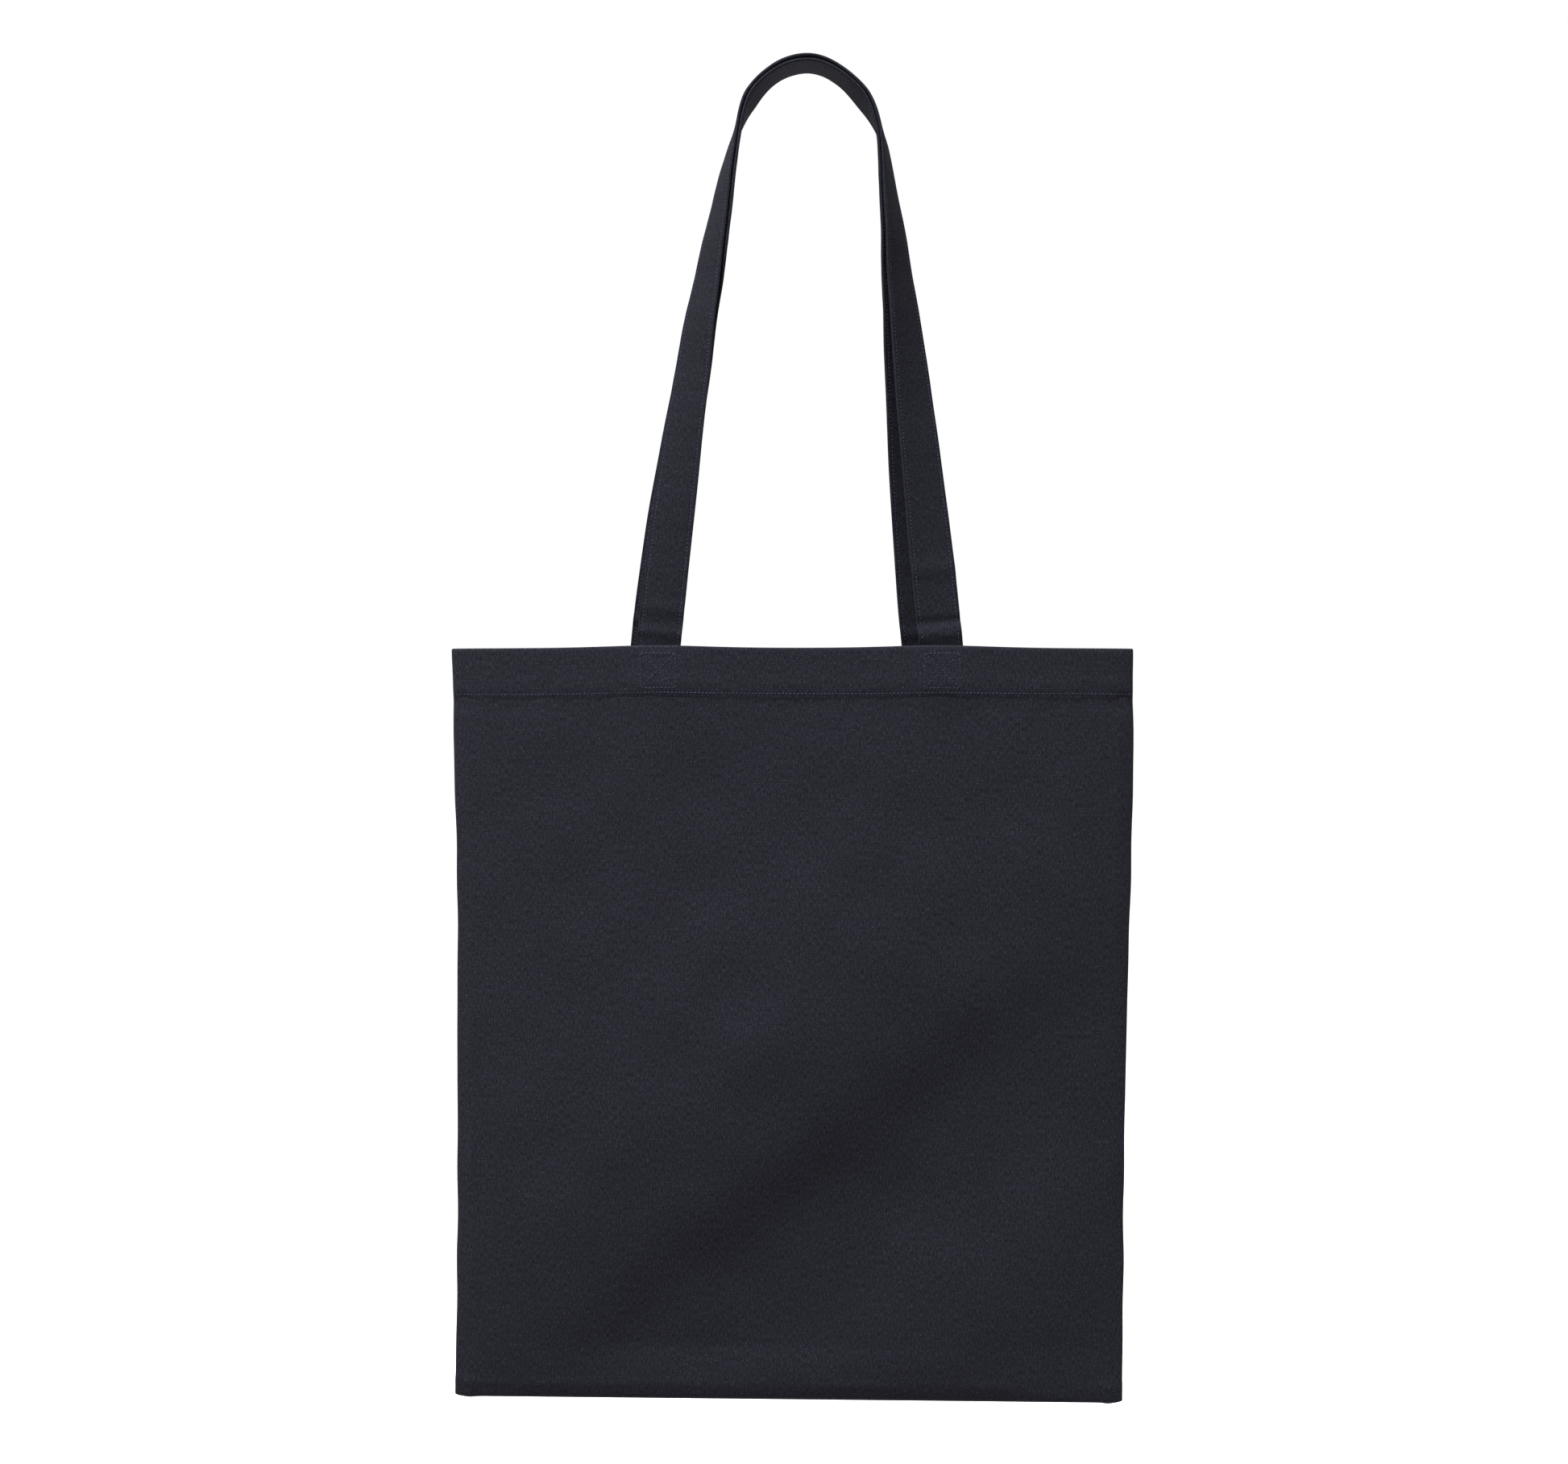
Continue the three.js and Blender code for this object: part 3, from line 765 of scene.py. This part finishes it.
        # The strap's width wanders a little along it, and it puffs out between stitches.
        wander = 1 + 0.010 * ripples(self.run, 0 * self.run, 0.06, 81 + self.side)
        puff = 1 + 0.06 * ripples(self.run, 0 * self.run, 0.016, 91 + self.side)
        rings = (
            self.line[:, None]
            + self.across[:, None] * (x[None, :, None] * wander[:, None, None])
            + self.out[:, None] * (y[None, :, None] * puff[:, None, None])
        )
        wear_and_painted_light = np.clip((np.abs(x) - (half - 1.0 * MM)) / (0.6 * MM), 0, 1) * 0.45
        return rings, wear_and_painted_light

    def row(self, edge, face):
        """A row of stitches along one edge, on one face: points, tangents and normals."""
        offset = edge * (sizes().strap_width / 2 - STITCH_INSET)
        lift = float(np.interp(abs(offset), *self.profile()))
        count = int(self.run[-1] / sizes().stitch)
        at = (np.arange(count) + 0.5) * self.run[-1] / count
        line, across, out, tangent = (
            sample(at, self.run, values) for values in (self.line, self.across, self.out, self.tangent))
        out = out * face
        return line + across * offset + out * lift, tangent, out


def bend_over_hem(piece):
    """Bakes a strap piece's placement into its mesh."""
    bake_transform(piece)


# ---------- operators: one for each group of pieces ----------


class TOTE_OT_panels(bpy.types.Operator):
    """Make the two canvas panels with their turned hem"""

    bl_idname = "tote.panels"
    bl_label = "Canvas Panels"

    columns = 230
    measured_row = 20  # the row of points along which the weave is measured out across the cloth
    fold_steps = 6
    fold_rise = 0.9 * MM  # how far the folded mouth rounds up above the cloth

    def rows(self):
        """Distances below the mouth: close together at the hem and at the bottom seam."""
        hem = sizes().hem_depth
        return np.concatenate([
            np.arange(0, hem - 3 * MM, 1.5 * MM),
            np.arange(hem - 3 * MM, hem + 4 * MM, 0.4 * MM),
            np.arange(hem + 4 * MM, BAG_HEIGHT - 16 * MM, 2.4 * MM),
            np.linspace(BAG_HEIGHT - 16 * MM, BAG_HEIGHT - sizes().cloth, 22),
        ])

    def panel(self, name, side):
        """One panel: rings of points up its outside, over the folded mouth and down its inside."""
        cloth = sizes().cloth
        rows = self.rows()
        up = rows[::-1]
        outside = np.full(len(rows), cloth)
        # Two more layers are turned in behind the hem.
        inside = -2 * cloth * step_at(-rows, -HEM_TURN, 0.5 * MM)
        turn = np.linspace(0, math.pi, self.fold_steps + 2)[1:-1]
        middle, reach = (cloth + inside[0]) / 2, (cloth - inside[0]) / 2
        over_drop = -self.fold_rise * np.sin(turn)
        over_offset = middle + reach * np.cos(turn)
        drop = np.concatenate([up, over_drop, rows])
        offset = np.concatenate([outside, over_offset, inside])
        relief = np.concatenate([np.ones(len(rows)), np.full(len(turn), 0.5), np.zeros(len(rows))])
        angle = np.linspace(-math.pi / 2, math.pi / 2, self.columns + 1)
        below = np.maximum(drop, 0)
        x = MIDDLE_X + np.sin(angle)[:, None] * half_width(below)[None, :]
        points, _ = cloth_point(side, x, below[None, :], offset[None, :], relief[None, :])
        points[:, :, 2] -= np.minimum(drop, 0)[None, :]
        lengths = np.concatenate([[0], np.cumsum(np.hypot(np.diff(drop), np.diff(offset)))])
        # The mouth, the bottom edge and the side seams have rubbed pale.
        wear_and_painted_light = np.concatenate([
            0.2 * bump_at(up, 0, 1.2 * MM) + 0.25 * bump_at(up, BAG_HEIGHT, 1.5 * MM),
            np.full(len(turn), 0.25), np.zeros(len(rows))])
        edge = 0.35 * bump_at(np.abs(angle), math.pi / 2, 0.05)[:, None]
        rubbed = np.clip(wear_and_painted_light[None, :] + edge, 0, 1)
        arc = run_of(points[:, self.measured_row])
        piece = loft(f"{name}_cloth", points, body_canvas(), along=arc, round_it=lengths, wear_and_painted_light=rubbed)
        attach(piece, "bag")
        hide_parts(f"{name}_panel", f"{name}_hem_turning")
        return piece

    def execute(self, context):
        for name, side in SIDES:
            piece = self.panel(name, side)
        return {"FINISHED"}


class TOTE_OT_seams(bpy.types.Operator):
    """Make the seams inside the bag and the overlock thread along them"""

    bl_idname = "tote.seams"
    bl_label = "Inside Seams"

    width = 8 * MM
    pitch = 2.6 * MM  # from one loop of the overlock to the next
    loop = 3.4 * MM  # how long each loop is
    inset = 1.6 * MM  # from the raw edge to the middle of the loops

    def strip(self, name, start, end, inwards):
        """Two raw edges pressed together: a strip from start to end, reaching inwards from them."""
        t = np.linspace(0, 1, 90)[:, None]
        line = start * (1 - t) + end * t
        share = np.linspace(0, 1, 7)
        thick = sizes().cloth * np.array([0.7, 1, 1, 1, 1, 1, 0.8])
        wave = 0.35 * MM * ripples(t[:, 0] * 0.4, 0 * t[:, 0], 0.05, 5)
        across = np.concatenate([share, share[::-1]])
        lift = np.concatenate([thick, -thick[::-1]])
        rings = line[:, None] + inwards * (self.width * across)[None, :, None]
        bow = wave[:, None, None] * across[None, :, None]
        rings = rings + np.array([0, 1, 0]) * (lift[None, :, None] + bow)
        piece = loft(f"{name}_seam_cloth", rings, body_canvas())
        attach(piece, "bag")
        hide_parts(f"{name}_seam_allowance")
        return line, wave

    def overlock(self, name, line, wave, inwards):
        """Slanting loops of thread over both faces of the raw edge."""
        length = float(np.linalg.norm(line[-1] - line[0]))
        count = int(length / self.pitch)
        at = (np.arange(count) + 0.5) / count
        index = at * (len(line) - 1)
        along = (line[-1] - line[0]) / length
        base = sample(index, np.arange(len(line)), line)
        lift = np.interp(index, np.arange(len(line)), wave)
        up = np.array([0, 1.0, 0])
        points, tangents, normals = [], [], []
        for face in (-1, 1):
            for slant in (-0.5, 0.5):
                rise = (lift + face * sizes().cloth)[:, None]
                points.append(base + inwards * (self.width - self.inset) + up * rise)
                tangents.append(np.broadcast_to(inwards * 0.85 + along * slant, base.shape))
                normals.append(np.broadcast_to(up * face, base.shape))
        points, tangents, normals = (np.concatenate(v) for v in (points, tangents, normals))
        piece = stitches(f"{name}_seam_overlocking", points, unit(tangents), normals, reach=self.loop)
        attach(piece, "bag")
        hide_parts(f"{name}_seam_overlock")

    def seam(self, name, start, end, inwards):
        line, wave = self.strip(name, start, end, inwards)
        self.overlock(name, line, wave, inwards)

    def execute(self, context):
        for name, leg in LEGS:
            low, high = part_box(f"{name}_seam_allowance")
            outer_x = low.x if leg < 0 else high.x
            start = np.array([outer_x, 0, high.z])
            end = np.array([outer_x - leg * sizes().taper, 0, low.z])
            inwards = np.array([-float(leg), 0, 0])
            self.seam(name, start, end, inwards)
        low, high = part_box("bottom_seam_allowance")
        start, end = np.array([low.x, 0, low.z]), np.array([high.x, 0, low.z])
        self.seam("bottom", start, end, np.array([0, 0, 1.0]))
        return {"FINISHED"}


class TOTE_OT_hem_stitching(bpy.types.Operator):
    """Make the row of stitches round the hem"""

    bl_idname = "tote.hem_stitching"
    bl_label = "Hem Stitching"

    def execute(self, context):
        for name, side in SIDES:
            reach = half_width(sizes().hem_depth) - 2 * MM
            count = int(2 * reach / sizes().stitch)
            x = MIDDLE_X + np.linspace(-reach, reach, count)
            wander = 0.25 * MM * ripples(x, 0 * x, 0.09, 63 + side)
            drop = sizes().hem_depth + wander
            points, normals = cloth_point(side, x, drop, sizes().cloth)
            tangents = unit(np.gradient(points, axis=0))
            # Painted highlight along the row, varying a little; under the strap ends the row is pulled
            # down into the cloth, so it is painted darker there as shade.
            painted_shine = 0.7 + 0.2 * ripples(x, 0 * x, 0.05, 67 + side)
            for foot in feet(side):
                painted_shine -= 0.4 * bump_at(x, foot, 14 * MM)
            piece = stitches(f"{name}_hem_stitches", points, tangents, normals, painted_shine)
            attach(piece, "bag")
            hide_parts(f"{name}_hem_stitching")
        return {"FINISHED"}


class TOTE_OT_box_stitching(bpy.types.Operator):
    """Make the crossed squares of stitches that hold the strap ends"""

    bl_idname = "tote.box_stitching"
    bl_label = "Box Stitching"

    width = 19.4 * MM
    height = 19 * MM
    below_edge = 3.5 * MM
    # Painted highlight by line: the top row lies highest and is painted lightest; the diagonals are
    # pulled down into the cloth and painted darker as shade.
    painted_highlight = (1.0, 0.5, 0.45, 0.5, 0.4, 0.42)

    def lines(self):
        """The square and its two diagonals, as start and end points right of and below its middle."""
        w, h = self.width / 2, self.height / 2
        corners = [(-w, -h), (w, -h), (w, h), (-w, h)]
        square = [(corners[i], corners[(i + 1) % 4]) for i in range(4)]
        return [*square, (corners[0], corners[2]), (corners[1], corners[3])]

    def execute(self, context):
        for side_name, side in SIDES:
            for leg_name, leg in LEGS:
                middle_x = node_middle(foot_node(side, leg)).x + STRAP_NUDGE[side, leg]
                middle_drop = self.below_edge + self.height / 2
                points, tangents, normals, painted_shine = [], [], [], []
                for index, ((ax, ay), (bx, by)) in enumerate(self.lines()):
                    run = math.hypot(bx - ax, by - ay)
                    count = round(run / sizes().stitch)
                    t = (np.arange(count) + 0.5) / count
                    x = middle_x + ax + (bx - ax) * t
                    drop = middle_drop + ay + (by - ay) * t
                    p, n = cloth_point(side, x, drop, sizes().cloth)
                    points.append(p)
                    normals.append(n)
                    tangents.append(np.broadcast_to([(bx - ax) / run, 0, -(by - ay) / run], p.shape))
                    painted_shine.append(np.full(count, self.painted_highlight[index]))
                name = f"{side_name}_{leg_name}_box"
                joined = (np.concatenate(v) for v in (points, tangents, normals, painted_shine))
                piece = stitches(f"{name}_stitches", *joined)
                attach(piece, "bag")
                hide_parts(f"{name}_stitching")
        return {"FINISHED"}


class TOTE_OT_handles(bpy.types.Operator):
    """Make the two strap handles and their edge stitching"""

    bl_idname = "tote.handles"
    bl_label = "Handles"

    def execute(self, context):
        for name, side in SIDES:
            handle = Handle(name, side)
            rings, wear_and_painted_light = handle.rings()
            strap = loft(
                f"{name}_handle_strap", rings, strap_canvas(), handle.run, wear_and_painted_light=wear_and_painted_light, warp_along=True)
            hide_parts(f"{name}_strap", f"{name}_left_strap_end", f"{name}_right_strap_end")
            bend_over_hem(strap)
            for edge_name, edge in (("outer", -1), ("inner", 1)):
                rows = [handle.row(edge, face) for face in (-1, 1)]
                points, tangents, normals = (np.concatenate(v) for v in zip(*rows))
                piece = stitches(
                    f"{name}_handle_{edge_name}_stitches", points, tangents, normals, 0.55)
                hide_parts(f"{name}_strap_{edge_name}_stitching")
                bend_over_hem(piece)
        return {"FINISHED"}


class TOTE_OT_stage(bpy.types.Operator):
    """Make the floor, the studio light and the camera"""

    bl_idname = "tote.stage"
    bl_label = "Studio"

    floor_z = -1.5
    floor_reach = 30
    camera_x = -0.0135
    camera_z = -0.3733
    frame_width = 0.8774
    lens = 50
    sensor = 36

    def lamp(self, name, kind, power, turn):
        lamp = bpy.data.objects.new(name, bpy.data.lights.new(name, kind))
        lamp.data.energy = power
        lamp.rotation_euler = turn.to_euler()
        bpy.context.scene.collection.objects.link(lamp)
        return lamp

    def softbox(self, name, place, size, power):
        aim = Vector((MIDDLE_X, 0, MOUTH_Z - BAG_HEIGHT / 3)) - Vector(place)
        lamp = self.lamp(name, "AREA", power, aim.to_track_quat("-Z", "Y"))
        lamp.location = place
        lamp.data.size = size
        return lamp

    def execute(self, context):
        reach = self.floor_reach
        corners = [(-reach, -reach), (reach, -reach), (reach, reach), (-reach, reach)]
        material = bpy.data.materials.new("Matt painted floor")
        material.use_nodes = True
        shader = material.node_tree.nodes["Principled BSDF"]
        shader.inputs["Base Color"].default_value = (*colours().floor, 1)
        shader.inputs["Roughness"].default_value = 0.9
        points = [(x, y, self.floor_z) for x, y in corners]
        floor = make_object("studio_floor", points, [(0, 1, 2, 3)], material)
        floor.visible_diffuse = False  # the cloth takes its soft light from the tent alone

        self.softbox("Key light", (-0.82, -1.30, 2.2), 1.2, 196)
        # The light behind only lifts the far side: it makes no glints on the straps' edges.
        self.softbox("Back light", (0.25, 1.9, 0.9), 1.2, 120).visible_glossy = False
        top = self.lamp("Top light", "SUN", 3.2, Vector((-0.05, -0.06, 1)).to_track_quat("Z", "Y"))
        top.data.angle = math.radians(30)

        world = bpy.data.worlds.new("Studio")
        context.scene.world = world
        world.use_nodes = True
        tree = world.node_tree
        # The tent round the object looks white, and lights it more softly than it looks.
        seen = add_node(tree, "ShaderNodeLightPath")
        strength = spread(tree, seen.outputs["Is Camera Ray"], 0.0, 1.0, 0.40, 1.0)
        background = tree.nodes["Background"]
        background.inputs["Color"].default_value = (1, 1, 1, 1)
        tree.links.new(strength, background.inputs["Strength"])

        data = bpy.data.cameras.new("Camera")
        data.lens, data.sensor_width = self.lens, self.sensor
        camera = bpy.data.objects.new("Camera", data)
        away = self.frame_width * self.lens / self.sensor
        camera.location = (self.camera_x, -away, self.camera_z)
        camera.rotation_euler = (math.pi / 2, 0, 0)
        context.scene.collection.objects.link(camera)
        context.scene.camera = camera
        context.scene.view_settings.view_transform = "Standard"
        return {"FINISHED"}


OPERATORS = (
    TOTE_OT_stage,
    TOTE_OT_panels,
    TOTE_OT_seams,
    TOTE_OT_hem_stitching,
    TOTE_OT_box_stitching,
    TOTE_OT_handles,
)


class TOTE_PT_sidebar(bpy.types.Panel):
    """Lists the bag's sizes, colours and pieces"""

    bl_idname = "TOTE_PT_sidebar"
    bl_label = "Canvas Tote Bag"
    bl_space_type = "VIEW_3D"
    bl_region_type = "UI"
    bl_category = "Tote"

    def draw(self, context):
        for group in (context.scene.tote_sizes, context.scene.tote_colours):
            box = self.layout.box()
            for name in group.__annotations__:
                box.prop(group, name)
        for operator in OPERATORS:
            self.layout.operator(operator.bl_idname)


CLASSES = (ToteSizes, ToteColours, *OPERATORS, TOTE_PT_sidebar)


def register():
    for cls in CLASSES:
        bpy.utils.register_class(cls)
    bpy.types.Scene.tote_sizes = bpy.props.PointerProperty(type=ToteSizes)
    bpy.types.Scene.tote_colours = bpy.props.PointerProperty(type=ToteColours)


def unregister():
    del bpy.types.Scene.tote_colours
    del bpy.types.Scene.tote_sizes
    for cls in reversed(CLASSES):
        bpy.utils.unregister_class(cls)


def main():
    register()
    bpy.ops.tote.stage()
    bpy.ops.tote.panels()
    bpy.ops.tote.seams()
    bpy.ops.tote.hem_stitching()
    bpy.ops.tote.box_stitching()
    bpy.ops.tote.handles()


if __name__ == "__main__":
    main()
